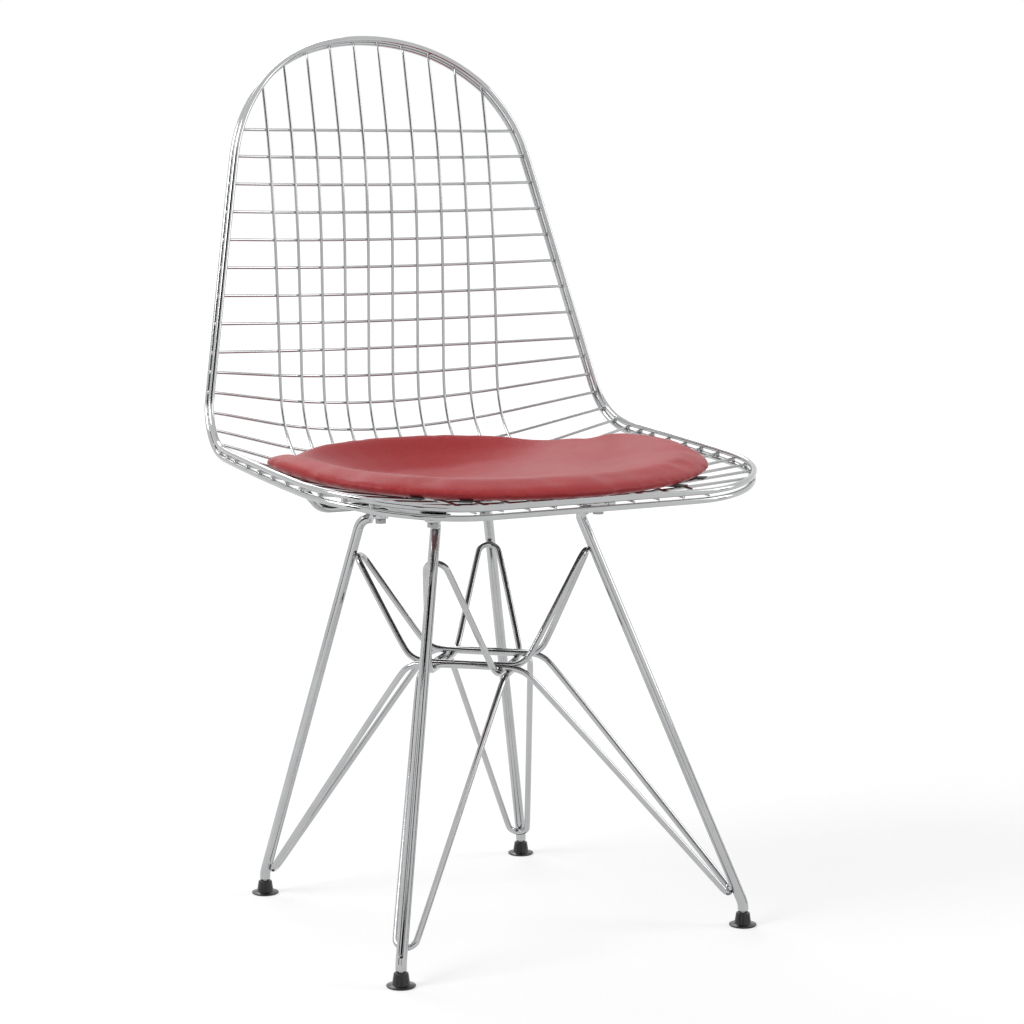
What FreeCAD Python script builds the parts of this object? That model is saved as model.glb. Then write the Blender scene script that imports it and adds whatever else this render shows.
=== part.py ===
import FreeCAD, Part
import math
import os
from FreeCAD import Placement, Vector

# Wire mesh chair: a shell of welded wire with a doubled rim, on a wire base.
# X is across the chair, +Z is up, and the sitter faces -Y. The origin is on the
# floor, under the middle of the chair. All lengths are in millimetres.

doc = FreeCAD.newDocument("wire_mesh_chair")
sheet = doc.addObject("Spreadsheet::Sheet", "sizes")
# Driving dimensions, each written once. Everything else follows from them.
SIZES = {
    # Wires and rods:
    "mesh_wire": 3.0,  # diameter of the mesh wires
    "rim_wire": 5.6,  # diameter of the two rim wires
    "weld_depth": 0.15,  # how far two welded wires sink into each other
    "wire_overhang": 1.6,  # mesh wire ends past the rim's centre line
    # The shell's side view: the rim, then the middle of the mesh:
    "shell_depth": 415,  # front edge to top edge, between centre lines
    "rim_top_z": 825.5,  # top of the back
    "rim_nape_y": 185.5,  # where the top stops leaning further back
    "rim_nape_z": 780,  # height of that bend
    "rim_hip_y": 114.2,  # corner between back and seat, seen from the side
    "rim_hip_z": 447.4,  # height of that corner
    "rim_lap_y": -150,  # where the rim dips towards the front edge
    "rim_lap_z": 423.5,  # height of that bend
    "front_z": 412.5,  # height of the front edge
    "nape_reach": 40,  # length of the rounding on each side of the nape
    "rim_hip_reach": 43,  # the same at the rim's hip corner
    "lap_reach": 40,  # the same where the front dips
    "mid_back_y": 180,  # the middle of the mesh behind the sitter's back
    "mid_shoulder_z": 694,  # where the middle of the back starts to lean
    "shoulder_reach": 65,  # rounding at that bend
    "mid_seat_z": 379,  # corner between back and seat at the middle
    "mid_seat_reach": 108,  # rounding of the middle at that corner
    "mid_lap_z": 414,  # height of the mesh's middle above the lap bend
    "dish_power": 1.75,  # how the rows rise from the middle to the rim
    # The shell's outline, laid out flat:
    "half_width": 232,  # widest half width of the rim's centre line
    "crown_x": 37.5,  # corner that rounds the crown of the back
    "crown_drop": 0,  # how far that corner lies below the top
    "shoulder_x": 145.8,  # corner that rounds the shoulder, half width
    "shoulder_drop": 43.3,  # that corner, measured down the sheet
    "flare_drop": 431,  # where the widening sides reach the full width
    "flare_reach": 77,  # rounding there
    "front_corner": 122,  # radius of the front corners
    # The mesh:
    "lengthwise_pitch": 27.2,  # between lengthwise wires
    "first_row_drop": 93,  # first cross wire below the top, down the sheet
    "back_pitch": 26.7,  # rows on the back, along the middle
    "seat_pitch": 27.2,  # rows round the bend and on the seat
    "rim_back_pitch": 27.2,  # rows on the back, along the rim
    "rim_bend_pitch": 19.2,  # rows gathered at the bend, along the rim
    "rim_seat_pitch": 26.5,  # rows on the seat, along the rim
    # The base:
    "leg_rod": 10,  # diameter of the legs
    "brace_rod": 6,  # diameter of the crossing loops
    "support_rod": 8,  # diameter of the two rods under the mesh
    "front_foot_x": 184,  # front glide from the middle
    "front_foot_y": -183.9,  # front glide
    "rear_foot_x": 147,  # rear glide from the middle
    "rear_foot_y": 149,  # rear glide
    "ankle_z": 21,  # where the legs turn upright
    "front_knee_x": 76.5,  # front leg's axis where it meets its tab
    "front_knee_y": -60.8,  # the same, seen from the side
    "rear_knee_x": 70.3,  # rear leg's axis where it meets its tab
    "rear_knee_y": 91.6,  # the same, seen from the side
    "front_bolt_x": 89.3,  # front mounting bolt from the middle
    "front_bolt_y": -76.5,  # front mounting bolt
    "rear_bolt_x": 58,  # rear mounting bolt from the middle
    "rear_bolt_y": 75.5,  # rear mounting bolt
    "tab_thick": 4.5,  # flattened end of a leg
    "tab_wide": 15,  # width of that end
    "plate_thick": 3,  # mounting plate
    "plate_wide": 26,  # mounting plate
    "bolt_shank": 6,  # mounting bolt
    "bolt_head": 10,  # across the flats of its head
    "bolt_head_high": 5,  # height of its head
    "bolt_clearance": 0.5,  # hole in the tab over the bolt
    "front_rod_half": 112,  # front support rod, level part, half length
    "rear_rod_half": 118,  # rear support rod, level part, half length
    "rod_end_x": 142,  # where both support rods end under the mesh
    # The crossing loops:
    "cross_y": -4,  # middle of the square where the loops cross
    "cross_z": 243.6,  # height of the higher pair's level runs
    "cross_half": 32,  # level runs from the middle
    "run_half": 55,  # upper loops, half length of a level run
    "lower_run_half": 56,  # lower loops, the same
    "pair_gap": 2.6,  # between the level runs of an upper and a lower loop
    "run_reach": 15,  # rounding of those corners
    "apex_half": 9,  # half width of each rounded end
    "upper_front_z": 352,  # upper loops on the front legs
    "upper_rear_z": 337,  # upper loops on the rear legs
    "lower_front_z": 34.2,  # lower loops on the front legs
    "lower_rear_z": 27,  # lower loops on the rear legs
    # The glides:
    "glide_wide": 26,  # flange of a glide
    "glide_flange": 2.4,  # thickness of the flange
    "glide_cone": 16,  # foot of the cone
    "glide_mouth": 13,  # top of the cone
    "glide_high": 13,  # height of a glide
    "ball_wide": 9,  # ball that the glide swivels on
    "ball_z": 7.6,  # height of the ball's centre
    "ball_gap": 0.25,  # clearance round the ball
    "pin_wide": 5,  # stem above the ball
    "tip_gap": 2.0,  # between the glide and the leg's end
    "pin_depth": 14,  # how deep the stem sits in the leg
    # The pad:
    "pad_half": 209.5,  # half width of the seat pad, at the mesh
    "pad_front_row": 26.5,  # front edge, counted in rows of the mesh
    "pad_rear_row": 12.5,  # rear edge, up the bend of the mesh
    "pad_roll": 16,  # height of the roll round the edge
    "pad_middle": 11,  # thickness in the dished middle
    "pad_round": 2.18,  # how round the outline is, 2 is an ellipse
    "pad_gap": 0.4,  # between the pad and the wires
    "strap_wide": 14,  # strap under the pad
    "strap_thick": 1.2,  # strap under the pad
    "strap_inner": 31,  # degrees from the middle of the front to two straps
    "strap_outer": 45,  # degrees to the other two
}

for row_number, (name, number) in enumerate(SIZES.items(), start=1):
    sheet.set(f"A{row_number}", name)
    sheet.set(f"B{row_number}", str(number))
    sheet.setAlias(f"B{row_number}", name)

doc.recompute()
get = sheet.get


def value(name):
    """A driving dimension as a plain number."""
    return float(get(name))


# Paths


def rounded(points, reaches, closed=False, turn_step=7.0):
    """Points along a path whose corners are rounded by tangent arcs.

    A reach is how far the arc starts from its corner. Each arc gets one point
    for every few degrees that it turns, and a straight run gets none.
    """
    count = len(points)
    path = []
    for index in range(count):
        here = points[index]
        if not closed and index in (0, count - 1):
            path.append(Vector(here))
            continue
        before = (points[index - 1] - here).normalize()
        after = (points[(index + 1) % count] - here).normalize()
        reach = reaches[index]
        opening = before.getAngle(after)
        turn = math.pi - opening
        if reach <= 0 or turn < 1e-6:
            path.append(Vector(here))
            continue
        radius = reach / math.tan(turn / 2)
        inward = (before + after).normalize()
        centre = here + inward * (radius / math.cos(turn / 2))
        start = here + before * reach - centre
        finish = here + after * reach - centre
        steps = max(2, math.ceil(math.degrees(turn) / turn_step))
        for step in range(steps + 1):
            share = step / steps
            arm = start * math.sin((1 - share) * turn) + finish * math.sin(share * turn)
            path.append(centre + arm / math.sin(turn))
    kept = [path[0]]
    for point in path[1:]:
        if (point - kept[-1]).Length > 1e-4:
            kept.append(point)
    if closed and (kept[0] - kept[-1]).Length < 1e-4:
        kept.pop()
    return kept


class Route:
    """A path that can be asked for the point at a given length along it."""

    def __init__(self, points):
        self.points = points
        self.marks = [0.0]
        for first, second in zip(points, points[1:]):
            self.marks.append(self.marks[-1] + (second - first).Length)
        self.length = self.marks[-1]

    def span(self, length):
        """The stretch that holds this length, past either end as well."""
        index = 0
        while index < len(self.marks) - 2 and length > self.marks[index + 1]:
            index += 1
        return index

    def at(self, length):
        index = self.span(length)
        run = self.points[index + 1] - self.points[index]
        return self.points[index] + run.normalize() * (length - self.marks[index])

    def heading(self, length):
        """The direction there, turning evenly from one stretch to the next."""
        nudge = 4.0
        return (self.at(length + nudge) - self.at(length - nudge)).normalize()

    def length_where(self, measure, target):
        """The length at which a steadily growing measure reaches the target."""
        low, high = 0.0, self.length
        for _ in range(50):
            middle = (low + high) / 2
            if measure(self.at(middle)) < target:
                low = middle
            else:
                high = middle
        return (low + high) / 2


def corner_radius(diameter, sides):
    """Centre to corner of a section with the area of the round wire."""
    return diameter / 2 * math.sqrt(2 * math.pi / (sides * math.sin(2 * math.pi / sides)))


def flat_radius(diameter, sides):
    """Centre to flat of the same section."""
    return corner_radius(diameter, sides) * math.cos(math.pi / sides)


def tube(points, diameter, sides, closed=False, face_to=None):
    """A wire or rod along a path, with as many flats as it has sides.

    Its section has the area of the round wire. The flats keep facing the same
    way along the path, and in a closed loop the last little twist is shared.
    """
    corner = corner_radius(diameter, sides)
    count = len(points)
    tangents = []
    for index in range(count):
        ahead = points[(index + 1) % count] - points[index]
        behind = points[index] - points[index - 1]
        if not closed and index == 0:
            behind = ahead
        if not closed and index == count - 1:
            ahead = behind
        tangents.append((ahead.normalize() + behind.normalize()).normalize())
    guide = face_to or Vector(0.3, -0.5, 0.8)
    frames = []
    for tangent in tangents + ([tangents[0]] if closed else []):
        guide = (guide - tangent * guide.dot(tangent)).normalize()
        frames.append(guide)
    twist = 0.0
    if closed:
        first, last = frames[0], frames[-1]
        twist = math.atan2(first.cross(last).dot(tangents[0]), first.dot(last))
        flat_turn = 2 * math.pi / sides
        twist -= round(twist / flat_turn) * flat_turn
    sections = []
    for index in range(count):
        across = frames[index]
        side = tangents[index].cross(across)
        ring = []
        for edge in range(sides):
            angle = 2 * math.pi * (edge + 0.5) / sides - twist * index / count
            ring.append(points[index] + across * (corner * math.cos(angle)) + side * (corner * math.sin(angle)))
        sections.append(ring)
    return skin(sections, closed)


def skin(sections, closed=False, hubs=False):
    """A solid with flat panels between rings of points.

    An open one is closed by a flat face at each end, or, where the end rings
    aren't flat, by panels that meet in a hub.
    """
    count = len(sections)
    sides = len(sections[0])
    faces = []
    for index in range(count if closed else count - 1):
        near = sections[index]
        far = sections[(index + 1) % count]
        for edge in range(sides):
            following = (edge + 1) % sides
            corners = [near[edge], near[following], far[following], far[edge]]
            faces.extend(panel(corners))
    for ring in () if closed else (sections[0], sections[-1]):
        if not hubs:
            faces.append(Part.Face(Part.makePolygon(ring + [ring[0]])))
            continue
        hub = sum(ring, Vector(0, 0, 0)) / sides
        for edge in range(sides):
            faces.append(Part.Face(Part.makePolygon([hub, ring[edge], ring[(edge + 1) % sides], hub])))
    shell = Part.makeShell(faces)
    shell.sewShape()
    solid = Part.makeSolid(shell)
    if solid.Volume < 0:
        solid.reverse()
    return solid


def round_bar(diameter, length, foot):
    """An upright pin or hole with twelve flats."""
    ring = []
    for index in range(12):
        angle = 2 * math.pi * (index + 0.5) / 12
        ring.append(foot + Vector(math.cos(angle), math.sin(angle), 0) * (diameter / 2))
    return Part.Face(Part.makePolygon(ring + [ring[0]])).extrude(Vector(0, 0, length))


def panel(corners):
    """One flat face through four corners, or two where they don't lie flat."""
    normal = (corners[1] - corners[0]).cross(corners[3] - corners[0])
    if normal.Length > 1e-9 and abs((corners[2] - corners[0]).dot(normal.normalize())) < 1e-6:
        return [Part.Face(Part.makePolygon(corners + [corners[0]]))]
    first = [corners[0], corners[1], corners[2], corners[0]]
    second = [corners[0], corners[2], corners[3], corners[0]]
    return [Part.Face(Part.makePolygon(first)), Part.Face(Part.makePolygon(second))]


def add_shape(name, shape):
    """A sub-part whose shape is worked out from the sheet's sizes."""
    feature = doc.addObject("Part::Feature", name)
    feature.Label = name
    feature.Shape = shape
    feature.Placement = Placement()
    nodes.append(feature)
    return feature


nodes = []
back_edge = value("shell_depth") / 2
front_edge = -value("shell_depth") / 2

# The rim's side view, from the top of the back down and forward to the front
rim_side = Route(
    rounded(
        [
            Vector(0, back_edge, value("rim_top_z")),
            Vector(0, value("rim_nape_y"), value("rim_nape_z")),
            Vector(0, value("rim_hip_y"), value("rim_hip_z")),
            Vector(0, value("rim_lap_y"), value("rim_lap_z")),
            Vector(0, front_edge, value("front_z")),
        ],
        [0, value("nape_reach"), value("rim_hip_reach"), value("lap_reach"), 0],
    )
)

# The middle of the mesh, seen from the side, between the same two edges
middle_side = Route(
    rounded(
        [
            Vector(0, back_edge, value("rim_top_z")),
            Vector(0, value("mid_back_y"), value("mid_shoulder_z")),
            Vector(0, value("mid_back_y"), value("mid_seat_z")),
            Vector(0, value("rim_lap_y"), value("mid_lap_z")),
            Vector(0, front_edge, value("front_z")),
        ],
        [0, value("shoulder_reach"), value("mid_seat_reach"), value("lap_reach"), 0],
    )
)

# Half of the rim's outline laid out flat: X is the half width and Y is how far
# the point lies from the top edge, measured down the back and along the seat.
crown = Vector(value("crown_x"), value("crown_drop"), 0)
shoulder = Vector(value("shoulder_x"), value("shoulder_drop"), 0)
flare = Vector(value("half_width"), value("flare_drop"), 0)
crown_reach = (crown - Vector(0, value("crown_drop"), 0)).Length
outline = Route(
    rounded(
        [
            Vector(0, value("crown_drop"), 0),
            crown,
            shoulder,
            flare,
            Vector(value("half_width"), rim_side.length, 0),
            Vector(0, rim_side.length, 0),
        ],
        [
            0,
            crown_reach,
            (shoulder - crown).Length - crown_reach,
            value("flare_reach"),
            value("front_corner"),
            0,
        ],
    )
)


def fold(flat, lift=0.0):
    """Bend a flat point of the outline to the rim's side view.

    The lift moves it off the sheet, towards the sitter.
    """
    base = rim_side.at(flat.y)
    heading = rim_side.heading(flat.y)
    outward = Vector(0, heading.z, -heading.y)
    return Vector(flat.x, base.y, base.z) + outward * lift


# Rows of the mesh. A row number may lie between two wires, for the pad.

ROWS = 25
LAST_BACK_ROW = 11
LAST_WIDE_ROW = 9
LAST_GATHERED_ROW = 17
LENGTHWISE = 10
WIRE_SIDES = 6

first_row = Vector(0, 0, 0)
first_row_rim = outline.length_where(lambda flat: flat.y, value("first_row_drop"))
first_row_z = fold(outline.at(first_row_rim)).z
first_row_middle = middle_side.length_where(lambda point: -point.z, -first_row_z)


def middle_length(row):
    """How far down the middle a row lies."""
    back_rows = min(row, LAST_BACK_ROW) - 1
    seat_rows = max(row - LAST_BACK_ROW, 0)
    return first_row_middle + back_rows * value("back_pitch") + seat_rows * value("seat_pitch")


def rim_length(row):
    """How far along the rim a row ends."""
    wide = min(row, LAST_WIDE_ROW) - 1
    gathered = min(max(row - LAST_WIDE_ROW, 0), LAST_GATHERED_ROW - LAST_WIDE_ROW)
    seat = max(row - LAST_GATHERED_ROW, 0)
    length = first_row_rim + wide * value("rim_back_pitch")
    return length + gathered * value("rim_bend_pitch") + seat * value("rim_seat_pitch")


def mesh_point(across, row):
    """A point of the mesh's sheet, this far from the middle, on this row."""
    middle = middle_side.at(middle_length(row))
    end = fold(outline.at(rim_length(row)))
    share = (abs(across) / end.x) ** value("dish_power")
    return Vector(across, middle.y + (end.y - middle.y) * share, middle.z + (end.z - middle.z) * share)


def mesh_normal(across, row):
    """The direction off the sheet there, towards the sitter."""
    along = mesh_point(across, row + 0.5) - mesh_point(across, row - 0.5)
    sideways = mesh_point(across + 2, row) - mesh_point(across - 2, row)
    return along.cross(sideways).normalize()


def lifted(across, row, lift):
    return mesh_point(across, row) + mesh_normal(across, row) * lift


wire_radius = value("mesh_wire") / 2
rim_radius = value("rim_wire") / 2
layer = wire_radius - value("weld_depth") / 2
wire_places = [value("lengthwise_pitch") * (index - (LENGTHWISE - 1) / 2) for index in range(LENGTHWISE)]

# The two rims


def rim_stations():
    """Lengths along half the outline where the rim bends."""
    marks = set(round(mark, 3) for mark in outline.marks)
    for mark in rim_side.marks[1:-1]:
        marks.add(round(outline.length_where(lambda flat: flat.y, mark), 3))
    ordered = sorted(marks)
    kept = [ordered[0]]
    for mark in ordered[1:-1]:
        if mark - kept[-1] > 5.0:
            kept.append(mark)
    if ordered[-1] - kept[-1] < 5.0:
        kept.pop()
    return kept + [ordered[-1]]


def rim(name, lift):
    """One closed loop round the whole shell, off the sheet by its lift."""
    half = [fold(outline.at(mark), lift) for mark in rim_stations()]
    other = [Vector(-point.x, point.y, point.z) for point in reversed(half[1:-1])]
    add_shape(name, tube(half + other, value("rim_wire"), 8, closed=True, face_to=Vector(0, -1, 0)))


rim_lift = rim_radius + wire_radius - value("weld_depth")
rim("rim_inner", rim_lift)
rim("rim_outer", -rim_lift)

# Lengthwise wires lie on the sitter's side of the rows. At both ends they are
# caught between the rims.


def lengthwise_wire(number, across):
    top = outline.length_where(lambda flat: flat.x, abs(across))
    top_flat = outline.at(top)
    start = fold(Vector(across, top_flat.y - value("wire_overhang"), 0))
    finish = fold(Vector(across, rim_side.length + value("wire_overhang"), 0))
    points = [start]
    points += [lifted(across, row, layer) for row in range(1, ROWS + 1)]
    points += [finish]
    add_shape(f"lengthwise_wire_{number:02d}", tube(points, value("mesh_wire"), WIRE_SIDES, face_to=Vector(0, -1, 0)))


for index, place in enumerate(wire_places):
    lengthwise_wire(index + 1, place)

# Rows lie behind and under them, and end between the rims


def row_points(row):
    end = fold(outline.at(rim_length(row)))
    places = [place for place in wire_places if abs(place) < end.x - 12]
    points = [lifted(place, row, -layer) for place in places]
    tip = end + Vector(value("wire_overhang"), 0, 0)
    crank = end - Vector(rim_radius + wire_radius, 0, 0)
    ends = [crank, tip]
    return [Vector(-point.x, point.y, point.z) for point in reversed(ends)] + points + ends


def row_wire(row):
    points = row_points(row)
    flat_side = (points[1] - points[0]).cross(points[len(points) // 2] - points[0])
    face = flat_side.normalize() if flat_side.Length > 1e-6 else Vector(0, 0, 1)
    add_shape(f"cross_wire_{row:02d}", tube(points, value("mesh_wire"), WIRE_SIDES, face_to=face))


for row in range(1, ROWS + 1):
    row_wire(row)

# Support rods under the seat, each below one row, with the plates below them

REAR_ROD_ROW = 16
FRONT_ROD_ROW = 22
rod_radius = value("support_rod") / 2
rod_drop = layer + wire_radius + rod_radius - value("weld_depth")


def support_rod(name, row, level_half):
    """A level rod whose two ends rise to the mesh. Returns its axis."""
    low = mesh_point(0, row) - Vector(0, 0, rod_drop)
    end = lifted(value("rod_end_x"), row, -rod_drop)
    points = [
        Vector(-end.x, end.y, end.z),
        Vector(-level_half, low.y, low.z),
        Vector(level_half, low.y, low.z),
        end,
    ]
    reach = (value("rod_end_x") - level_half) * 0.45
    path = rounded(points, [0, reach, reach, 0], turn_step=9)
    add_shape(name, tube(path, value("support_rod"), 12, face_to=Vector(0, 0, 1)))
    return low


front_rod = support_rod("support_rod_front", FRONT_ROD_ROW, value("front_rod_half"))
rear_rod = support_rod("support_rod_rear", REAR_ROD_ROW, value("rear_rod_half"))
plate_top_front = front_rod.z - flat_radius(value("support_rod"), 12)
plate_top_rear = rear_rod.z - flat_radius(value("support_rod"), 12)

bolt_places = []
for side in (-1, 1):
    bolt_places.append(Vector(side * value("front_bolt_x"), value("front_bolt_y"), plate_top_front))
    bolt_places.append(Vector(side * value("rear_bolt_x"), value("rear_bolt_y"), plate_top_rear))


def mounting_plates():
    """Four square plates under the rods, bored for the bolts."""
    thick = value("plate_thick")
    wide = value("plate_wide")
    plates = []
    for place in bolt_places:
        corner = place - Vector(wide / 2, wide / 2, thick)
        plate = Part.makeBox(wide, wide, thick, corner)
        upright = [edge for edge in plate.Edges if abs(edge.tangentAt(edge.FirstParameter).z) > 0.9]
        plate = plate.makeChamfer(wide / 10, upright)
        bore = round_bar(value("bolt_shank"), thick + 2, place - Vector(0, 0, thick + 1))
        plates.append(plate.cut(bore))
    add_shape("mounting_plates", Part.makeCompound(plates))


mounting_plates()


def mounting_bolts():
    """Four hexagon bolts, up through the leg tabs into the plates."""
    across_corners = value("bolt_head") / math.cos(math.radians(30))
    length = value("plate_thick") + value("tab_thick")
    bolts = []
    for place in bolt_places:
        seat = place - Vector(0, 0, length)
        ring = []
        for corner in range(7):
            angle = math.radians(60 * corner)
            spoke = Vector(math.cos(angle), math.sin(angle), 0) * (across_corners / 2)
            ring.append(seat + spoke - Vector(0, 0, value("bolt_head_high")))
        head = Part.Face(Part.makePolygon(ring)).extrude(Vector(0, 0, value("bolt_head_high")))
        shank = round_bar(value("bolt_shank"), length, seat)
        bolts.append(head.fuse(shank))
    add_shape("mounting_bolts", Part.makeCompound(bolts))


mounting_bolts()

# Legs. Each is a rod that stands upright on its glide, leans inward from the
# ankle, and turns at the knee into a flat tab that holds the bolt.

pin_top = value("glide_high") + value("tip_gap")


class Leg:
    """Where one leg runs, and where the loops meet it."""

    def __init__(self, side, end):
        sign = -1 if side == "right" else 1
        self.name = f"{end}_{side}"
        self.foot = Vector(sign * value(f"{end}_foot_x"), value(f"{end}_foot_y"), 0)
        self.ankle = self.foot + Vector(0, 0, value("ankle_z"))
        self.tip = self.foot + Vector(0, 0, pin_top)
        self.bolt = Vector(sign * value(f"{end}_bolt_x"), value(f"{end}_bolt_y"), 0)
        plate_top = plate_top_front if end == "front" else plate_top_rear
        self.tab_z = plate_top - value("plate_thick") - value("tab_thick") / 2
        self.bolt.z = self.tab_z
        rod_top = corner_radius(value("leg_rod"), 12)
        knee_z = self.tab_z + value("tab_thick") / 2 - rod_top
        self.knee = Vector(sign * value(f"{end}_knee_x"), value(f"{end}_knee_y"), knee_z)
        self.tab_way = Vector(self.bolt.x - self.knee.x, self.bolt.y - self.knee.y, 0)
        self.tab_run = self.tab_way.Length
        self.tab_way.normalize()

    def axis_at(self, height):
        share = (height - self.ankle.z) / (self.knee.z - self.ankle.z)
        return self.ankle + (self.knee - self.ankle) * share

    def shape(self):
        # The knee's arc ends before the bolt's hole begins
        ankle_reach = (self.ankle.z - self.tip.z) * 0.6
        knee_reach = self.tab_run * 0.52
        stub = self.knee + self.tab_way * (knee_reach + 0.5)
        path = rounded([self.tip, self.ankle, self.knee, stub], [0, ankle_reach, knee_reach, 0], turn_step=15)
        rod = tube(path, value("leg_rod"), 12)
        return rod.fuse(self.tab(knee_reach)).cut(self.pin_bore()).removeSplitter()

    def tab(self, knee_reach):
        """The flattened end: a swelling, then a round-ended flat with a hole."""
        wide = value("tab_wide")
        thick = value("tab_thick")
        sideways = Vector(0, 0, 1).cross(self.tab_way)
        lift = Vector(0, 0, thick / 2)
        near = self.bolt - self.tab_way * (value("bolt_head") * 0.7)
        radius = value("leg_rod") / 2
        rod_end = self.knee + self.tab_way * (knee_reach - 0.5)
        rise = Vector(0, 0, 1)
        sections = []
        for place, half_wide, half_high in ((rod_end, radius * 0.98, radius * 0.9), (near, wide / 2, thick / 2)):
            ring = []
            for corner in ((1, 0.45), (0.6, 1), (-0.6, 1), (-1, 0.45), (-1, -0.45), (-0.6, -1), (0.6, -1), (1, -0.45)):
                ring.append(place + sideways * (half_wide * corner[0]) + rise * (half_high * corner[1]))
            sections.append(ring)
        swelling = skin(sections)
        start_left = near + sideways * (wide / 2) - lift
        start_right = near - sideways * (wide / 2) - lift
        end_left = self.bolt + sideways * (wide / 2) - lift
        end_right = self.bolt - sideways * (wide / 2) - lift
        bend = [end_left, end_right]
        for step in range(1, 8):
            angle = math.pi * step / 8
            arm = sideways * math.cos(angle) + self.tab_way * math.sin(angle)
            bend.insert(-1, self.bolt + arm * (wide / 2) - lift)
        flat = Part.Face(Part.makePolygon([start_right, start_left] + bend + [start_right]))
        flat = flat.extrude(Vector(0, 0, thick))
        hole = value("bolt_shank") + value("bolt_clearance")
        bore = round_bar(hole, thick + 8, self.bolt - Vector(0, 0, thick / 2 + 4))
        return swelling.fuse(flat).cut(bore)

    def pin_bore(self):
        return round_bar(value("pin_wide"), value("pin_depth"), self.tip)


legs = {}
for end in ("front", "rear"):
    for side in ("left", "right"):
        leg = Leg(side, end)
        legs[leg.name] = leg
        add_shape(f"leg_{leg.name}", leg.shape())

# Crossing loops. Each joins a front leg to the rear leg on the other side. Its
# two ends are round and its middle runs level beside the other loops.


def loop_path(front_leg, rear_leg, front_z, rear_z, level, half, span):
    """A closed path: end at the front leg, two level runs, end at the rear."""
    middle = Vector(0, value("cross_y"), level)
    front_axis = front_leg.axis_at(front_z)
    rear_axis = rear_leg.axis_at(rear_z)
    way = Vector(front_axis.x - rear_axis.x, front_axis.y - rear_axis.y, 0).normalize()
    sideways = Vector(-way.y, way.x, 0)
    weld = (value("leg_rod") + value("brace_rod")) / 2 - value("weld_depth")
    apex = value("apex_half")
    ends = []
    for leg_here, axis, outward in ((front_leg, front_axis, way), (rear_leg, rear_axis, way * -1)):
        lean = (leg_here.knee - leg_here.ankle).normalize()
        inward = outward * -1
        off = (inward - lean * inward.dot(lean)).normalize()
        ends.append(axis + off * weld)
    front_end, rear_end = ends
    points = [
        front_end - sideways * apex,
        front_end + sideways * apex,
        middle + way * span + sideways * half,
        middle - way * span + sideways * half,
        rear_end + sideways * apex,
        rear_end - sideways * apex,
        middle - way * span - sideways * half,
        middle + way * span - sideways * half,
    ]
    reach = value("run_reach")
    reaches = [apex, apex, reach, reach, apex, apex, reach, reach]
    return rounded(points, reaches, closed=True, turn_step=20)


def crossing_loops():
    weld = value("brace_rod") - value("weld_depth")
    upper_half = value("cross_half")
    lower_half = upper_half + value("brace_rod") + value("pair_gap")
    level = value("cross_z")
    for name, front_name, rear_name in (("left", "front_left", "rear_right"), ("right", "front_right", "rear_left")):
        front_leg = legs[front_name]
        rear_leg = legs[rear_name]
        upper = loop_path(
            front_leg, rear_leg, value("upper_front_z"), value("upper_rear_z"), level, upper_half, value("run_half")
        )
        lower = loop_path(
            front_leg, rear_leg, value("lower_front_z"), value("lower_rear_z"), level, lower_half, value("lower_run_half")
        )
        add_shape(f"upper_loop_{name}", tube(upper, value("brace_rod"), 8, closed=True, face_to=Vector(0, 0, 1)))
        add_shape(f"lower_loop_{name}", tube(lower, value("brace_rod"), 8, closed=True, face_to=Vector(0, 0, 1)))
        level -= weld


crossing_loops()

# Glides. The stem of a ball pin sits in the leg, and the glide snaps over the
# ball and swivels on it until its flange lies flat.


def turned(profile, sides, foot):
    """A turned piece with flat panels, from (radius, height) pairs.

    The profile starts on the base and ends where it closes on the axis.
    """
    rings = []
    for radius, height in profile:
        ring = []
        for index in range(sides):
            angle = 2 * math.pi * (index + 0.5) / sides
            ring.append(foot + Vector(radius * math.cos(angle), radius * math.sin(angle), height))
        rings.append(ring)
    return skin(rings)


def ball_profile(radius, centre, top, bottom, steps):
    """Points of a ball's outline, from one height to another."""
    profile = []
    first = math.asin((top - centre) / radius)
    last = math.asin((bottom - centre) / radius)
    for step in range(steps + 1):
        angle = first + (last - first) * step / steps
        profile.append((radius * math.cos(angle), centre + radius * math.sin(angle)))
    return profile


def glide(leg):
    """A cone on a thin flange, hollowed for the ball."""
    flange = value("glide_wide") / 2
    thick = value("glide_flange")
    high = value("glide_high")
    mouth = value("glide_mouth") / 2
    socket = value("ball_wide") / 2 + value("ball_gap")
    centre = value("ball_z")
    neck = centre + socket * 0.62
    profile = [
        (flange - thick * 0.4, 0),
        (flange, thick * 0.3),
        (flange, thick * 0.75),
        (value("glide_cone") / 2, thick),
        (mouth, high - 0.7),
        (mouth - 0.8, high),
        (value("pin_wide") / 2 + 2.0, high),
    ]
    profile += ball_profile(socket, centre, neck, centre - socket * 0.9, 5)
    return turned(profile, 20, leg.foot)


def ball_pin(leg):
    """The ball and its stem, which ends inside the leg."""
    radius = value("ball_wide") / 2
    centre = value("ball_z")
    stem = value("pin_wide") / 2
    meet = centre + math.sqrt(radius * radius - stem * stem)
    profile = [(stem, pin_top + value("pin_depth")), (stem, meet)]
    profile += ball_profile(radius, centre, meet, centre - radius * 0.9, 5)[1:]
    return turned(profile, 12, leg.foot)


for leg in legs.values():
    add_shape(f"glide_{leg.name}", glide(leg))
add_shape("glide_pins", Part.makeCompound([ball_pin(leg) for leg in legs.values()]))

# The seat pad lies on the mesh. Its underside follows the wires, its sides are
# drawn in, a roll runs round its edge and its middle is dished.

PAD_POINTS = 36


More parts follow.
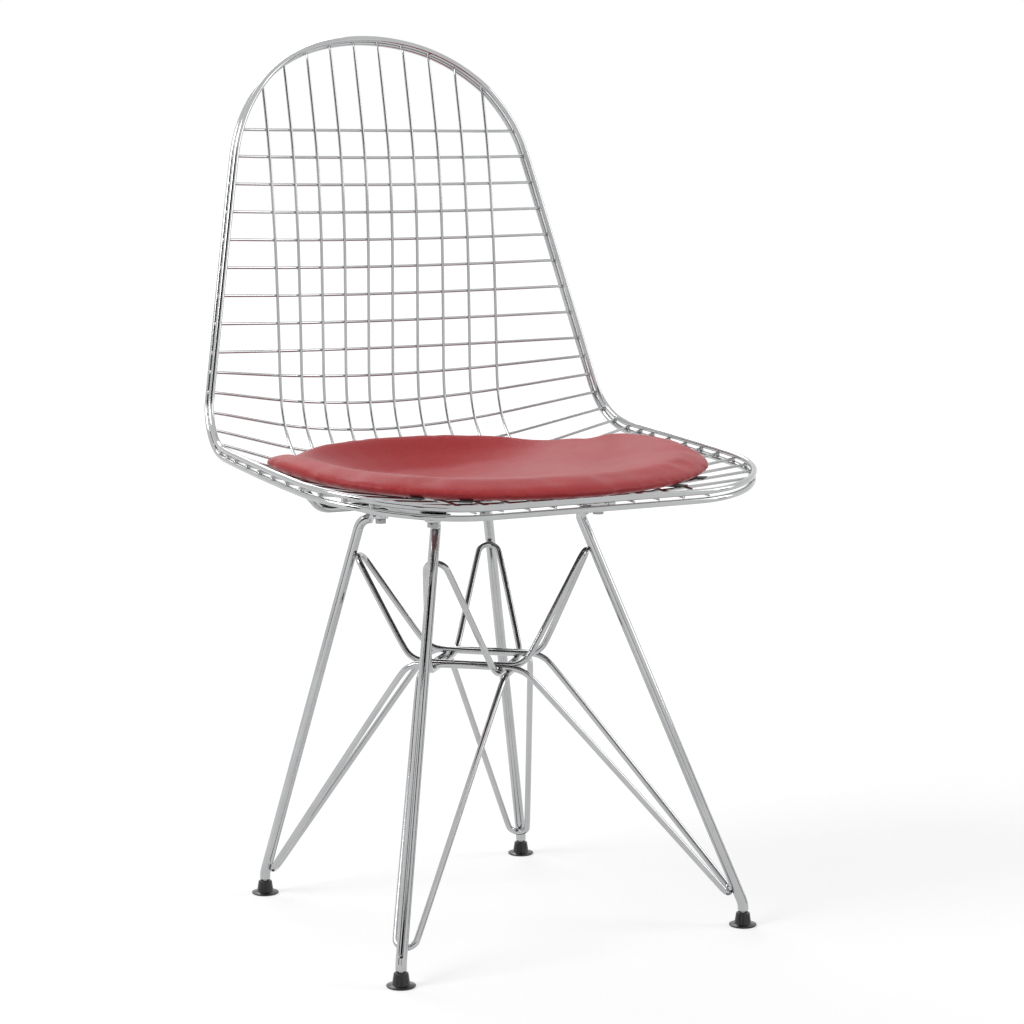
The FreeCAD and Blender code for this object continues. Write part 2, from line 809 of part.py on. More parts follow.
def pad_point(angle, scale, rise):
    """A point of the pad: how far round, how far out, and how high."""
    middle_row = (value("pad_front_row") + value("pad_rear_row")) / 2
    half_rows = (value("pad_front_row") - value("pad_rear_row")) / 2
    power = 2 / value("pad_round")
    cosine = math.cos(angle)
    sine = math.sin(angle)
    across = value("pad_half") * scale * math.copysign(abs(cosine) ** power, cosine)
    row = middle_row + half_rows * scale * math.copysign(abs(sine) ** power, sine)
    return lifted(across, row, layer + wire_radius + rise)


def pad_ring(scale, rise):
    """One ring round the pad, drawn in to a scale, this high off the wires."""
    rest = value("pad_gap") + rise
    return [pad_point(2 * math.pi * (index + 0.5) / PAD_POINTS, scale, rest) for index in range(PAD_POINTS)]


def seat_pad():
    roll = value("pad_roll")
    middle = value("pad_middle")
    rings = [pad_ring(scale, 0) for scale in (0.05, 0.40, 0.75, 0.93)]
    for scale, share in ((0.985, 0.14), (1.0, 0.40), (0.985, 0.68), (0.945, 0.90), (0.89, 1.0), (0.80, 0.96)):
        rings.append(pad_ring(scale, roll * share))
    rings.append(pad_ring(0.62, middle * 1.15))
    rings.append(pad_ring(0.35, middle * 1.02))
    rings.append(pad_ring(0.05, middle))
    return skin(rings, hubs=True)


add_shape("seat_pad", seat_pad())

# Four strap ends lie on the wires at the front and show past the pad's edge


def strap_end(angle):
    turn = value("strap_wide") / 2 / value("pad_half")
    thick = value("strap_thick")
    sections = []
    for scale in (0.955, 1.0, 1.045):
        low = 0.05
        corners = ((angle - turn, low), (angle + turn, low), (angle + turn, low + thick), (angle - turn, low + thick))
        sections.append([pad_point(place, scale, rise) for place, rise in corners])
    return skin(sections, hubs=True)


straps = []
for side in (-1, 1):
    for spread in (value("strap_inner"), value("strap_outer")):
        straps.append(strap_end(math.radians(90 - side * spread)))
add_shape("pad_straps", Part.makeCompound(straps))

# Check every object, then write one file for each sub-part

doc.recompute()
for item in doc.Objects:
    if "Invalid" in item.State or "Error" in item.State:
        raise RuntimeError(f"{item.Name} failed")
for node in nodes:
    if node.Shape.isNull() or not node.Shape.isValid():
        raise RuntimeError(f"{node.Label} is not a valid solid")

os.makedirs("parts", exist_ok=True)
for node in nodes:
    node.Shape.exportStep(f"parts/{node.Label}.step")
print(len(nodes), "sub-parts")
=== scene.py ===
import math

import bmesh
import bpy
from mathutils import Matrix, Vector, noise
from mathutils.bvhtree import BVHTree


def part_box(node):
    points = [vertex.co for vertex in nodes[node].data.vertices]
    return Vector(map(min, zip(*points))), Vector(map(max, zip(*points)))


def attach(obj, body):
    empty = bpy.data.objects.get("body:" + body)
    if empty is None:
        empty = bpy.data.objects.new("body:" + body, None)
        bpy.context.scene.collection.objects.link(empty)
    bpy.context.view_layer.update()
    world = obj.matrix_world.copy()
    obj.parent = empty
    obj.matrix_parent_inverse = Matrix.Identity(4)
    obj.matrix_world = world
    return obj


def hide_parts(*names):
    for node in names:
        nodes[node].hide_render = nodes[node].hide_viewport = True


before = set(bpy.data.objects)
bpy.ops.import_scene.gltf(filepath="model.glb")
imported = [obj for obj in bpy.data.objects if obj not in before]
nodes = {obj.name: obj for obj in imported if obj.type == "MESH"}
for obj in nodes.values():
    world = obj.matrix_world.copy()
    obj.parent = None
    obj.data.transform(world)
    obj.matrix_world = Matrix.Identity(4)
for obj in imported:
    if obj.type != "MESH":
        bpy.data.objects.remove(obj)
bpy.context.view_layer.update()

# Wire mesh chair. Chromed wire shell with a doubled rim, wire base with four
# crossing loops, red leatherette pad, black glides. Metres, Z up, sitter at -Y.

scene = bpy.context.scene

# Sizes in metres, angles in degrees

MESH_WIRE = 0.003
RIM_WIRE = 0.0056
BRACE_ROD = 0.006
MERGE_GAP = 0.00001  # corners of one CAD solid that are the same point
FLAT_TURN = 20  # two triangles turned less than this make one quad
QUAD_SKEW = 60

# Working on one piece at a time


def pick(piece):
    """Only this piece is selected and active."""
    bpy.ops.object.select_all(action="DESELECT")
    piece.select_set(True)
    bpy.context.view_layer.objects.active = piece
    return piece


def apply_all(piece):
    """Every modifier of the piece becomes part of its mesh."""
    pick(piece)
    for modifier in list(piece.modifiers):
        bpy.ops.object.modifier_apply(modifier=modifier.name)
    return piece


def paint(piece, material):
    piece.data.materials.clear()
    piece.data.materials.append(material)
    return piece


def mount(piece, body, material, slot, *stands_for):
    """The piece gets its finish, its body and the nodes it replaces. The slot is not used."""
    paint(piece, material)
    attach(piece, body)
    if stands_for:
        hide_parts(*stands_for)
    return piece


def merged_copy(node, name):
    """A copy of a CAD node's mesh with its doubles merged and its quads back."""
    piece = bpy.data.objects.new(name, nodes[node].data.copy())
    scene.collection.objects.link(piece)
    pick(piece)
    bpy.ops.object.mode_set(mode="EDIT")
    bpy.ops.mesh.select_all(action="SELECT")
    bpy.ops.mesh.remove_doubles(threshold=MERGE_GAP)
    bpy.ops.mesh.normals_make_consistent(inside=False)
    bpy.ops.mesh.tris_convert_to_quads(
        face_threshold=math.radians(FLAT_TURN), shape_threshold=math.radians(QUAD_SKEW)
    )
    bpy.ops.object.mode_set(mode="OBJECT")
    return piece


def smooth(piece, angle=None):
    """Smooth shading, or only across edges flatter than the angle."""
    pick(piece)
    if angle is None:
        bpy.ops.object.shade_smooth()
    else:
        bpy.ops.object.shade_smooth_by_angle(angle=math.radians(angle))
    return piece


# Shader effects that more than one finish uses


def effect(name, inputs, outputs):
    """An empty node group with named value, colour or vector sockets."""
    group = bpy.data.node_groups.new(name, "ShaderNodeTree")
    for label, kind, default in inputs:
        socket = group.interface.new_socket(label, in_out="INPUT", socket_type=kind)
        if default is not None:
            socket.default_value = default
    for label, kind in outputs:
        group.interface.new_socket(label, in_out="OUTPUT", socket_type=kind)
    start = group.nodes.new("NodeGroupInput")
    end = group.nodes.new("NodeGroupOutput")
    return group, start, end


def node(tree, kind, **settings):
    made = tree.nodes.new(kind)
    for label, setting in settings.items():
        setattr(made, label, setting)
    return made


def math_node(tree, operation, first, second=None, clamp=False):
    """A Math node fed by sockets or plain numbers."""
    made = node(tree, "ShaderNodeMath", operation=operation, use_clamp=clamp)
    for index, source in enumerate((first, second)):
        if source is None:
            continue
        if isinstance(source, (int, float)):
            made.inputs[index].default_value = source
        else:
            tree.links.new(source, made.inputs[index])
    return made.outputs[0]


def remap(tree, source, low, high, new_low, new_high):
    made = node(tree, "ShaderNodeMapRange")
    tree.links.new(source, made.inputs["Value"])
    made.inputs["From Min"].default_value = low
    made.inputs["From Max"].default_value = high
    made.inputs["To Min"].default_value = new_low
    made.inputs["To Max"].default_value = new_high
    return made.outputs["Result"]


FLOAT = "NodeSocketFloat"
VECTOR = "NodeSocketVector"


def polish_marks():
    """Fine polishing scratches and handling smudges on bright metal."""
    group, start, end = effect(
        "polish_marks",
        [("Place", VECTOR, None), ("Scratch Scale", FLOAT, 900.0), ("Smudge Scale", FLOAT, 26.0)],
        [("Scratches", FLOAT), ("Smudges", FLOAT)],
    )
    stretch = node(group, "ShaderNodeMapping")
    stretch.inputs["Scale"].default_value = (1.0, 1.0, 0.12)
    scratches = node(group, "ShaderNodeTexNoise")
    scratches.inputs["Detail"].default_value = 2.0
    smudges = node(group, "ShaderNodeTexNoise")
    smudges.inputs["Detail"].default_value = 4.0
    smudges.inputs["Roughness"].default_value = 0.6
    link = group.links.new
    link(start.outputs["Place"], stretch.inputs["Vector"])
    link(stretch.outputs["Vector"], scratches.inputs["Vector"])
    link(start.outputs["Scratch Scale"], scratches.inputs["Scale"])
    link(start.outputs["Place"], smudges.inputs["Vector"])
    link(start.outputs["Smudge Scale"], smudges.inputs["Scale"])
    link(remap(group, scratches.outputs["Fac"], 0.35, 0.65, 0.0, 1.0), end.inputs["Scratches"])
    link(remap(group, smudges.outputs["Fac"], 0.42, 0.72, 0.0, 1.0), end.inputs["Smudges"])
    return group


def leather_grain():
    """Embossed grain: small rounded pebbles between fine creases."""
    group, start, end = effect(
        "leather_grain",
        [("Place", VECTOR, None), ("Pebble Scale", FLOAT, 900.0), ("Shade Scale", FLOAT, 11.0)],
        [("Height", FLOAT), ("Creases", FLOAT), ("Shade", FLOAT)],
    )
    wobble = node(group, "ShaderNodeTexNoise")
    wobble.inputs["Scale"].default_value = 260.0
    shift = node(group, "ShaderNodeMixRGB", blend_type="LINEAR_LIGHT")
    shift.inputs["Fac"].default_value = 0.0012
    pebbles = node(group, "ShaderNodeTexVoronoi", feature="SMOOTH_F1")
    pebbles.inputs["Smoothness"].default_value = 0.4
    edges = node(group, "ShaderNodeTexVoronoi", feature="DISTANCE_TO_EDGE")
    shade = node(group, "ShaderNodeTexNoise")
    shade.inputs["Detail"].default_value = 3.0
    link = group.links.new
    link(start.outputs["Place"], wobble.inputs["Vector"])
    link(start.outputs["Place"], shift.inputs["Color1"])
    link(wobble.outputs["Color"], shift.inputs["Color2"])
    for texture in (pebbles, edges):
        link(shift.outputs["Color"], texture.inputs["Vector"])
        link(start.outputs["Pebble Scale"], texture.inputs["Scale"])
    link(start.outputs["Place"], shade.inputs["Vector"])
    link(start.outputs["Shade Scale"], shade.inputs["Scale"])
    crease = remap(group, edges.outputs["Distance"], 0.0, 0.16, 1.0, 0.0)
    dome = math_node(group, "SUBTRACT", 1.0, pebbles.outputs["Distance"])
    link(math_node(group, "SUBTRACT", dome, crease), end.inputs["Height"])
    link(crease, end.inputs["Creases"])
    link(shade.outputs["Fac"], end.inputs["Shade"])
    return group


def settled_dust():
    """Thin dust on what faces up."""
    group, start, end = effect(
        "settled_dust",
        [("Place", VECTOR, None), ("Facing", VECTOR, None), ("Amount", FLOAT, 0.2)],
        [("Mask", FLOAT)],
    )
    split = node(group, "ShaderNodeSeparateXYZ")
    specks = node(group, "ShaderNodeTexNoise")
    specks.inputs["Scale"].default_value = 420.0
    specks.inputs["Detail"].default_value = 3.0
    link = group.links.new
    link(start.outputs["Facing"], split.inputs["Vector"])
    link(start.outputs["Place"], specks.inputs["Vector"])
    up = remap(group, split.outputs["Z"], 0.3, 1.0, 0.0, 1.0)
    spots = remap(group, specks.outputs["Fac"], 0.45, 0.75, 0.0, 1.0)
    lying = math_node(group, "MULTIPLY", up, spots)
    link(math_node(group, "MULTIPLY", lying, start.outputs["Amount"]), end.inputs["Mask"])
    return group


POLISH = polish_marks()
GRAIN = leather_grain()
DUST = settled_dust()

# Finishes, with colours as red, green, blue and one


def finish(name):
    """A material with a Principled shader and Object coordinates."""
    material = bpy.data.materials.new(name)
    material.use_nodes = True
    tree = material.node_tree
    surface = next(item for item in tree.nodes if item.type == "BSDF_PRINCIPLED")
    place = node(tree, "ShaderNodeTexCoord").outputs["Object"]
    return material, tree, surface, place


def use_effect(tree, group, **inputs):
    made = node(tree, "ShaderNodeGroup", node_tree=group)
    for label, source in inputs.items():
        socket = made.inputs[label.replace("_", " ")]
        if isinstance(source, (int, float)):
            socket.default_value = source
        else:
            tree.links.new(source, socket)
    return made


def blend_colours(tree, mask, low, high):
    made = node(tree, "ShaderNodeMix", data_type="RGBA")
    tree.links.new(mask, made.inputs["Factor"])
    made.inputs["A"].default_value = low
    made.inputs["B"].default_value = high
    return made


def relief(tree, surface, height, strength, distance):
    bump = node(tree, "ShaderNodeBump")
    bump.inputs["Strength"].default_value = strength
    bump.inputs["Distance"].default_value = distance
    tree.links.new(height, bump.inputs["Height"])
    tree.links.new(bump.outputs["Normal"], surface.inputs["Normal"])


def bright_metal(name, colour, haze, rough_low, rough_high, relief_depth):
    """Plated or bare metal with scratches, smudges and a little dust."""
    material, tree, surface, place = finish(name)
    facing = node(tree, "ShaderNodeNewGeometry").outputs["Normal"]
    marks = use_effect(tree, POLISH, Place=place)
    dust = use_effect(tree, DUST, Place=place, Facing=facing, Amount=0.25)
    dust_grey = (0.55, 0.54, 0.52, 1.0)
    tint = blend_colours(tree, marks.outputs["Smudges"], colour, haze)
    dusty = blend_colours(tree, dust.outputs["Mask"], colour, dust_grey)
    tree.links.new(tint.outputs["Result"], dusty.inputs["A"])
    tree.links.new(dusty.outputs["Result"], surface.inputs["Base Color"])
    surface.inputs["Metallic"].default_value = 1.0
    rough = remap(tree, marks.outputs["Smudges"], 0.0, 1.0, rough_low, rough_high)
    hazy = math_node(tree, "MULTIPLY", dust.outputs["Mask"], 0.3)
    fine = math_node(tree, "MULTIPLY", marks.outputs["Scratches"], 0.02)
    dull = math_node(tree, "ADD", rough, hazy)
    tree.links.new(math_node(tree, "ADD", dull, fine), surface.inputs["Roughness"])
    relief(tree, surface, marks.outputs["Scratches"], 0.12, relief_depth)
    return material


def leatherette():
    material, tree, surface, place = finish("red_leatherette")
    grain = use_effect(tree, GRAIN, Place=place)
    deep_red = (0.39, 0.029, 0.033, 1.0)
    light_red = (0.49, 0.042, 0.047, 1.0)
    # Painted shade: the red is darker in the grain's creases.
    crease_shade_red = (0.26, 0.022, 0.026, 1.0)
    body = blend_colours(tree, grain.outputs["Shade"], deep_red, light_red)
    crease_shade = blend_colours(tree, grain.outputs["Creases"], deep_red, crease_shade_red)
    tree.links.new(body.outputs["Result"], crease_shade.inputs["A"])
    tree.links.new(crease_shade.outputs["Result"], surface.inputs["Base Color"])
    rough = remap(tree, grain.outputs["Shade"], 0.3, 0.7, 0.40, 0.50)
    tree.links.new(rough, surface.inputs["Roughness"])
    surface.inputs["Specular IOR Level"].default_value = 0.24
    surface.inputs["Sheen Weight"].default_value = 0.05
    surface.inputs["Sheen Roughness"].default_value = 0.4
    relief(tree, surface, grain.outputs["Height"], 0.35, 0.00012)
    return material


def moulded_plastic():
    material, tree, surface, place = finish("black_moulded_plastic")
    marks = use_effect(tree, POLISH, Place=place, Scratch_Scale=1500.0, Smudge_Scale=60.0)
    polished = (0.005, 0.005, 0.006, 1.0)
    rubbed = (0.013, 0.013, 0.014, 1.0)
    tint = blend_colours(tree, marks.outputs["Smudges"], polished, rubbed)
    tree.links.new(tint.outputs["Result"], surface.inputs["Base Color"])
    tree.links.new(remap(tree, marks.outputs["Smudges"], 0.0, 1.0, 0.22, 0.4), surface.inputs["Roughness"])
    relief(tree, surface, marks.outputs["Scratches"], 0.25, 0.00005)
    return material


def webbing():
    """Woven nylon tape: two crossed sets of fine ribs."""
    material, tree, surface, place = finish("black_webbing")
    ribs = []
    for direction in ("X", "Y"):
        wave = node(tree, "ShaderNodeTexWave", wave_type="BANDS", bands_direction=direction)
        wave.inputs["Scale"].default_value = 330.0
        wave.inputs["Distortion"].default_value = 0.4
        tree.links.new(place, wave.inputs["Vector"])
        ribs.append(wave.outputs["Fac"])
    weave = math_node(tree, "MULTIPLY", ribs[0], ribs[1])
    # Painted shade: the tape is darker between its ribs.
    between = (0.009, 0.009, 0.010, 1.0)
    thread = (0.032, 0.032, 0.034, 1.0)
    tint = blend_colours(tree, weave, between, thread)
    tree.links.new(tint.outputs["Result"], surface.inputs["Base Color"])
    surface.inputs["Roughness"].default_value = 0.75
    surface.inputs["Sheen Weight"].default_value = 0.3
    relief(tree, surface, weave, 0.6, 0.00025)
    return material


def base_cloth():
    """Black non-slip cloth beneath the pad."""
    material, tree, surface, place = finish("black_base_cloth")
    grain = use_effect(tree, GRAIN, Place=place, Pebble_Scale=520.0, Shade_Scale=20.0)
    cloth = (0.022, 0.021, 0.021, 1.0)
    # Painted shade: the cloth is darker in the grain's creases.
    gap_shade = (0.008, 0.008, 0.008, 1.0)
    tint = blend_colours(tree, grain.outputs["Creases"], cloth, gap_shade)
    tree.links.new(tint.outputs["Result"], surface.inputs["Base Color"])
    surface.inputs["Roughness"].default_value = 0.85
    relief(tree, surface, grain.outputs["Height"], 0.5, 0.0002)
    return material


PLATING = (0.47, 0.475, 0.48, 1)
CHROME_WIRE = bright_metal("chromed_wire", PLATING, (0.43, 0.435, 0.44, 1), 0.07, 0.13, 0.00002)
CHROME_BASE = bright_metal("chromed_base", PLATING, (0.42, 0.425, 0.43, 1), 0.06, 0.12, 0.00002)
WELD_METAL = bright_metal("plated_weld", (0.44, 0.44, 0.44, 1), (0.33, 0.33, 0.335, 1), 0.14, 0.26, 0.00008)
PIN_STEEL = bright_metal("pin_steel", (0.33, 0.33, 0.335, 1), (0.25, 0.25, 0.26, 1), 0.18, 0.3, 0.00004)
LEATHERETTE = leatherette()
PLASTIC = moulded_plastic()
WEBBING = webbing()
BASE_CLOTH = base_cloth()

# Wires and rods: the CAD polygon sections drawn round. The shares are how much
# of its corner radius a section keeps when it is subdivided twice.

KEPT_SHARE = {6: 0.8407, 8: 0.9073}


def round_section(node_name, diameter, sides, material, slot):
    """A wire with its section subdivided to a circle of the same area."""
    piece = merged_copy(node_name, node_name + "_drawn")
    pick(piece)
    rounding = piece.modifiers.new("rounding", "SUBSURF")
    rounding.levels = rounding.render_levels = 2
    corner = diameter / 2 * math.sqrt(2 * math.pi / (sides * math.sin(2 * math.pi / sides)))
    swell = piece.modifiers.new("swell", "DISPLACE")
    swell.strength = diameter / 2 - corner * KEPT_SHARE[sides]
    swell.mid_level = 0.0
    apply_all(piece)
    smooth(piece)
    return mount(piece, "chair", material, slot, node_name)


for name in sorted(nodes):
    if name.startswith(("lengthwise_wire", "cross_wire")):
        round_section(name, MESH_WIRE, 6, CHROME_WIRE, "chromed_wire")
for name in ("rim_inner", "rim_outer"):
    round_section(name, RIM_WIRE, 8, CHROME_WIRE, "chromed_wire")
for name in ("upper_loop_left", "upper_loop_right", "lower_loop_left", "lower_loop_right"):
    round_section(name, BRACE_ROD, 8, CHROME_BASE, "chromed_base")


# Rods, plates, bolts and glides keep their CAD shape, with worn corners

SHADED_FLAT = 50  # edges sharper than this stay crisp


def soften(node_name, material, slot, width, angle=35, body="chair"):
    """A rod or plate whose hard corners get a small worn bevel."""
    piece = merged_copy(node_name, node_name + "_finished")
    pick(piece)
    bevel = piece.modifiers.new("worn_corners", "BEVEL")
    bevel.width = width
    bevel.segments = 2
    bevel.limit_method = "ANGLE"
    bevel.angle_limit = math.radians(angle)
    apply_all(piece)
    smooth(piece, SHADED_FLAT)
    return mount(piece, body, material, slot, node_name)


for name in ("support_rod_front", "support_rod_rear"):
    soften(name, CHROME_BASE, "chromed_base", 0.0004)
for name in ("leg_front_left", "leg_front_right", "leg_rear_left", "leg_rear_right"):
    soften(name, CHROME_BASE, "chromed_base", 0.0005)
soften("mounting_plates", CHROME_BASE, "chromed_base", 0.0006)
soften("mounting_bolts", PIN_STEEL, "pin_steel", 0.0004)

for corner in ("front_left", "front_right", "rear_left", "rear_right"):
    soften("glide_" + corner, PLASTIC, "glide_plastic", 0.0003, body="glide_" + corner + "_body")
soften("glide_pins", PIN_STEEL, "pin_steel", 0.0002)


# Welds where the mesh wires meet the two rims

BEAD = 0.0021  # radius of a weld bead
BEAD_SPREAD = 0.12  # how much the beads differ in size
BEAD_PATTERN = 90
WELD_GAP = 0.001  # wires further apart than this aren't welded
NEARER_STEPS = 6


def nearest_pair(wire, rim, start):
    """The middle of the shortest gap between two meshes, looked for near a point."""
    on_wire = start
    for _ in range(NEARER_STEPS):
        on_rim = rim.find_nearest(on_wire)[0]
        on_wire = wire.find_nearest(on_rim)[0]
    return (on_wire + on_rim) / 2, (on_wire - on_rim).length


def weld_places():
    """Where each end of each mesh wire comes nearest to each rim."""
    graph = bpy.context.evaluated_depsgraph_get()
    rims = []
    for name in ("rim_inner_drawn", "rim_outer_drawn"):
        rims.append(BVHTree.FromObject(bpy.data.objects[name], graph))
    places = []
    for name in sorted(nodes):
        if not name.startswith(("lengthwise_wire", "cross_wire")):
            continue
        wire = bpy.data.objects[name + "_drawn"]
        tree = BVHTree.FromObject(wire, graph)
        axis = 0 if name.startswith("cross") else 2
        ordered = sorted(wire.data.vertices, key=lambda vertex: vertex.co[axis])
        for tip in (ordered[0], ordered[-1]):
            for rim in rims:
                place, gap = nearest_pair(tree, rim, tip.co.copy())
                if gap < WELD_GAP:
                    places.append(place)
    return places


def weld_beads():
    """One small smooth bead, copied to each weld."""
    bpy.ops.object.select_all(action="DESELECT")
    bpy.ops.mesh.primitive_ico_sphere_add(subdivisions=2, radius=BEAD, location=(0, 0, 0))
    bead = bpy.context.active_object
    bead.name = "rim_welds"
    joined = bmesh.new()
    for place in weld_places():
        size = 1.0 + BEAD_SPREAD * noise.noise(place * BEAD_PATTERN)
        one = bmesh.new()
        one.from_mesh(bead.data)
        bmesh.ops.transform(one, matrix=Matrix.Translation(place) @ Matrix.Scale(size, 4), verts=one.verts)
        copied = bpy.data.meshes.new("bead")
        one.to_mesh(copied)
        one.free()
        joined.from_mesh(copied)
        bpy.data.meshes.remove(copied)
    joined.to_mesh(bead.data)
    joined.free()
    smooth(bead)
    mount(bead, "chair", WELD_METAL, "chromed_wire")


weld_beads()

# Seat pad: cloth filled by pressure over the CAD shape, resting on the wires

PAD_VOXEL = 0.005
PAD_STRETCH = 1.016  # the remesh and the smoothing take this much off again
PAD_SWELL = 0.0025  # how far the filling may push the cover out
PAD_PRESSURE = 4.0
PAD_FRAMES = 20
RESTING_TILT = -0.35  # faces that look further down than this rest on the wires
WAVE_HEIGHT = 0.0009
LONG_WAVES = 16.0
SHORT_WAVES = 41.0
BASE_CLOTH_TILT = -0.6
BASE_CLOTH_SHARE = 0.8  # of the way from the middle to the edge
STRAP_TUCK_LEFT = 0.009
STRAP_TUCK_RIGHT = 0.006


def seat_pad():
    """The cover over the foam, from the CAD pad's shape."""
    pad = merged_copy("seat_pad", "seat_pad_cover")
    pick(pad)
    low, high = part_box("seat_pad")
    centre = (Vector(low) + Vector(high)) / 2
    for vertex in pad.data.vertices:
        vertex.co.x = centre.x + (vertex.co.x - centre.x) * PAD_STRETCH
        vertex.co.y = centre.y + (vertex.co.y - centre.y) * PAD_STRETCH
    remesh = pad.modifiers.new("even", "REMESH")
    remesh.mode = "VOXEL"
    remesh.voxel_size = PAD_VOXEL
    apply_all(pad)
    fill_with_pressure(pad)
    loosen(pad)
    finer = pad.modifiers.new("finer", "SUBSURF")
    finer.levels = finer.render_levels = 1
    return apply_all(pad)


def fill_with_pressure(pad):
    """The cover blows up like a filled cushion, held where it rests on the wires."""
    start = [vertex.co.copy() for vertex in pad.data.vertices]
    resting = pad.vertex_groups.new(name="resting")
    held = [vertex.index for vertex in pad.data.vertices if vertex.normal.z < RESTING_TILT]
    resting.add(held, 1.0, "REPLACE")
    cloth = pad.modifiers.new("cover", "CLOTH")
    cloth.settings.quality = 6
    cloth.settings.use_pressure = True
    cloth.settings.uniform_pressure_force = PAD_PRESSURE
    cloth.settings.vertex_group_mass = "resting"
    cloth.settings.effector_weights.gravity = 0.0
    cloth.point_cache.frame_start = 1
    cloth.point_cache.frame_end = PAD_FRAMES
    for frame_number in range(1, PAD_FRAMES + 1):
        scene.frame_set(frame_number)
    apply_all(pad)
    for vertex, before in zip(pad.data.vertices, start):
        move = vertex.co - before
        if move.length > PAD_SWELL:
            vertex.co = before + move * (PAD_SWELL / move.length)


def loosen(pad):
    """Slack in the cover: soft shallow waves over the foam, none beneath."""
    lifts = []
    for vertex in pad.data.vertices:
        top = max(0.0, vertex.normal.z)
        wave = noise.noise(vertex.co * LONG_WAVES) + 0.5 * noise.noise(vertex.co * SHORT_WAVES)
        lifts.append(vertex.normal * (WAVE_HEIGHT * wave * top))
    for vertex, lift in zip(pad.data.vertices, lifts):
        vertex.co += lift
    even = pad.modifiers.new("even_out", "SMOOTH")
    even.factor = 0.5
    even.iterations = 6
    apply_all(pad)


pad = seat_pad()
smooth(pad)
mount(pad, "chair", LEATHERETTE, "leatherette", "seat_pad")
pad.data.materials.append(BASE_CLOTH)
pad_low, pad_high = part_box("seat_pad")
for face in pad.data.polygons:
    share = []
    for axis in (0, 1):
        wide = pad_high[axis] - pad_low[axis]
        share.append((2 * face.center[axis] - pad_low[axis] - pad_high[axis]) / wide)
    if face.normal.z < BASE_CLOTH_TILT and math.hypot(*share) < BASE_CLOTH_SHARE:
        face.material_index = 1

# The strap ends, tucked under the pad's edge

straps = soften("pad_straps", WEBBING, "strap_webbing", 0.0002)
for vertex in straps.data.vertices:
    inward = Vector((-vertex.co.x, -vertex.co.y, 0)).normalized()
    vertex.co += inward * (STRAP_TUCK_LEFT if vertex.co.x < 0 else STRAP_TUCK_RIGHT)

# Floor, light and camera

FLOOR_WIDE = 40.0
FLOOR_GREY = (0.46, 0.46, 0.46, 1)
NEAR_GLOW = 0.56  # painted light: how much the floor glows near the chair and far from it
FAR_GLOW = 0.84
WORLD_LIGHT = 0.55


def seen_directly(tree):
    """One for rays that see the background, in the camera, metal or glass."""
    rays = node(tree, "ShaderNodeLightPath")
    seen = math_node(tree, "ADD", rays.outputs["Is Camera Ray"], rays.outputs["Is Glossy Ray"])
    return math_node(tree, "ADD", seen, rays.outputs["Is Transmission Ray"], clamp=True)


def studio():
    """A plain pale floor and a white world."""
    bpy.ops.object.select_all(action="DESELECT")
    bpy.ops.mesh.primitive_plane_add(size=FLOOR_WIDE, location=(0, 0, 0))
    floor = bpy.context.active_object
    floor.name = "floor"
    material = bpy.data.materials.new("pale_floor")
    material.use_nodes = True
    tree = material.node_tree
    surface = next(item for item in tree.nodes if item.type == "BSDF_PRINCIPLED")
    surface.inputs["Base Color"].default_value = FLOOR_GREY
    surface.inputs["Roughness"].default_value = 0.9
    surface.inputs["Specular IOR Level"].default_value = 0.0
    place = node(tree, "ShaderNodeTexCoord").outputs["Object"]
    reach = node(tree, "ShaderNodeVectorMath", operation="LENGTH")
    tree.links.new(place, reach.inputs[0])
    # Painted light: the floor glows more the further it is from the chair, where the lamps light it less.
    white = remap(tree, reach.outputs["Value"], 1.0, 5.0, NEAR_GLOW, FAR_GLOW)
    glow = math_node(tree, "MULTIPLY", seen_directly(tree), white)
    surface.inputs["Emission Color"].default_value = (1, 1, 1, 1)
    tree.links.new(glow, surface.inputs["Emission Strength"])
    floor.data.materials.append(material)

    world = bpy.data.worlds.new("white_studio")
    scene.world = world
    world.use_nodes = True
    tree = world.node_tree
    backdrop = next(item for item in tree.nodes if item.type == "BACKGROUND")
    backdrop.inputs["Color"].default_value = (1, 1, 1, 1)
    strength = remap(tree, seen_directly(tree), 0.0, 1.0, WORLD_LIGHT, 1.0)
    tree.links.new(strength, backdrop.inputs["Strength"])


def softbox(name, place, aim, width, height, power):
    """A soft rectangular lamp that faces its aim."""
    light = bpy.data.lights.new(name, "AREA")
    light.shape = "RECTANGLE"
    light.size = width
    light.size_y = height
    light.energy = power
    lamp = bpy.data.objects.new(name, light)
    lamp.location = place
    lamp.rotation_euler = (Vector(aim) - Vector(place)).to_track_quat("-Z", "Y").to_euler()
    scene.collection.objects.link(lamp)
    return lamp


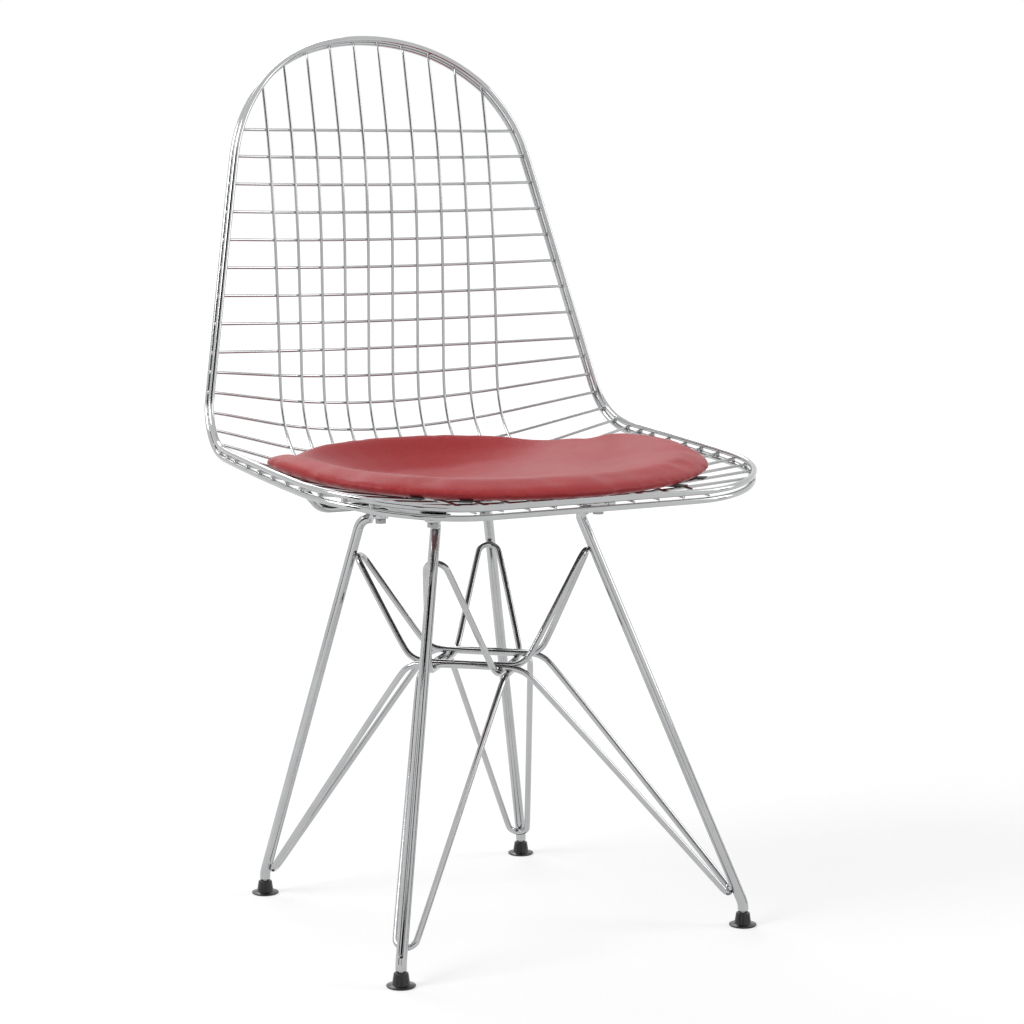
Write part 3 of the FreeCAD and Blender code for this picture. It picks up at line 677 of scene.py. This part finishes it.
def dark_card(name, place, aim, width, height):
    """A dark card beside the camera. It shows only in the chrome."""
    bpy.ops.object.select_all(action="DESELECT")
    bpy.ops.mesh.primitive_plane_add(size=1.0, location=(0, 0, 0))
    card = bpy.context.active_object
    card.name = name
    turn = (Vector(aim) - Vector(place)).to_track_quat("Z", "Y").to_matrix().to_4x4()
    card.data.transform(Matrix.Translation(place) @ turn @ Matrix.Diagonal((width, height, 1.0, 1.0)))
    material = bpy.data.materials.new(name + "_black")
    material.use_nodes = True
    surface = next(item for item in material.node_tree.nodes if item.type == "BSDF_PRINCIPLED")
    surface.inputs["Base Color"].default_value = (0.01, 0.01, 0.01, 1)
    surface.inputs["Roughness"].default_value = 1.0
    surface.inputs["Specular IOR Level"].default_value = 0.0
    card.data.materials.append(material)
    card.visible_camera = False
    card.visible_diffuse = False
    card.visible_shadow = False


studio()
CENTRE = (0.0, 0.0, 0.42)
softbox("key_light", (-3.0, 0.2, 2.8), CENTRE, 1.6, 1.6, 70)
softbox("fill_light", (2.6, -1.4, 1.8), CENTRE, 1.2, 1.8, 22)
softbox("back_light", (0.4, 2.8, 2.6), CENTRE, 2.0, 1.2, 30)
dark_card("card_left", (-3.2, -0.6, 1.1), CENTRE, 0.8, 3.4)
dark_card("card_front", (-1.6, -3.0, 0.5), CENTRE, 0.45, 1.6)
dark_card("card_above", (-1.7, -2.7, 2.2), CENTRE, 3.4, 1.3)
dark_card("card_right", (3.0, -1.8, 1.2), CENTRE, 0.7, 3.4)

# The photograph's viewing place, angles and lens

CAMERA_PLACE = (-1.3385, -2.2175, 0.7262)
LENS = 97.70
SENSOR = 36.0
YAW = math.radians(-31.909)
PITCH = math.radians(7.564)
ROLL = math.radians(0.187)
forward = Vector((-math.sin(YAW) * math.cos(PITCH), math.cos(YAW) * math.cos(PITCH), -math.sin(PITCH)))
level = Vector((math.cos(YAW), math.sin(YAW), 0))
above = level.cross(forward)
across = level * math.cos(ROLL) + above * math.sin(ROLL)
upward = above * math.cos(ROLL) - level * math.sin(ROLL)
lens = bpy.data.cameras.new("photo_camera")
lens.lens = LENS
lens.sensor_width = SENSOR
lens.clip_end = 60.0
camera = bpy.data.objects.new("photo_camera", lens)
turned = Matrix((across, upward, -forward)).transposed().to_4x4()
camera.matrix_world = Matrix.Translation(CAMERA_PLACE) @ turned
scene.collection.objects.link(camera)
scene.camera = camera
scene.view_settings.view_transform = "Standard"
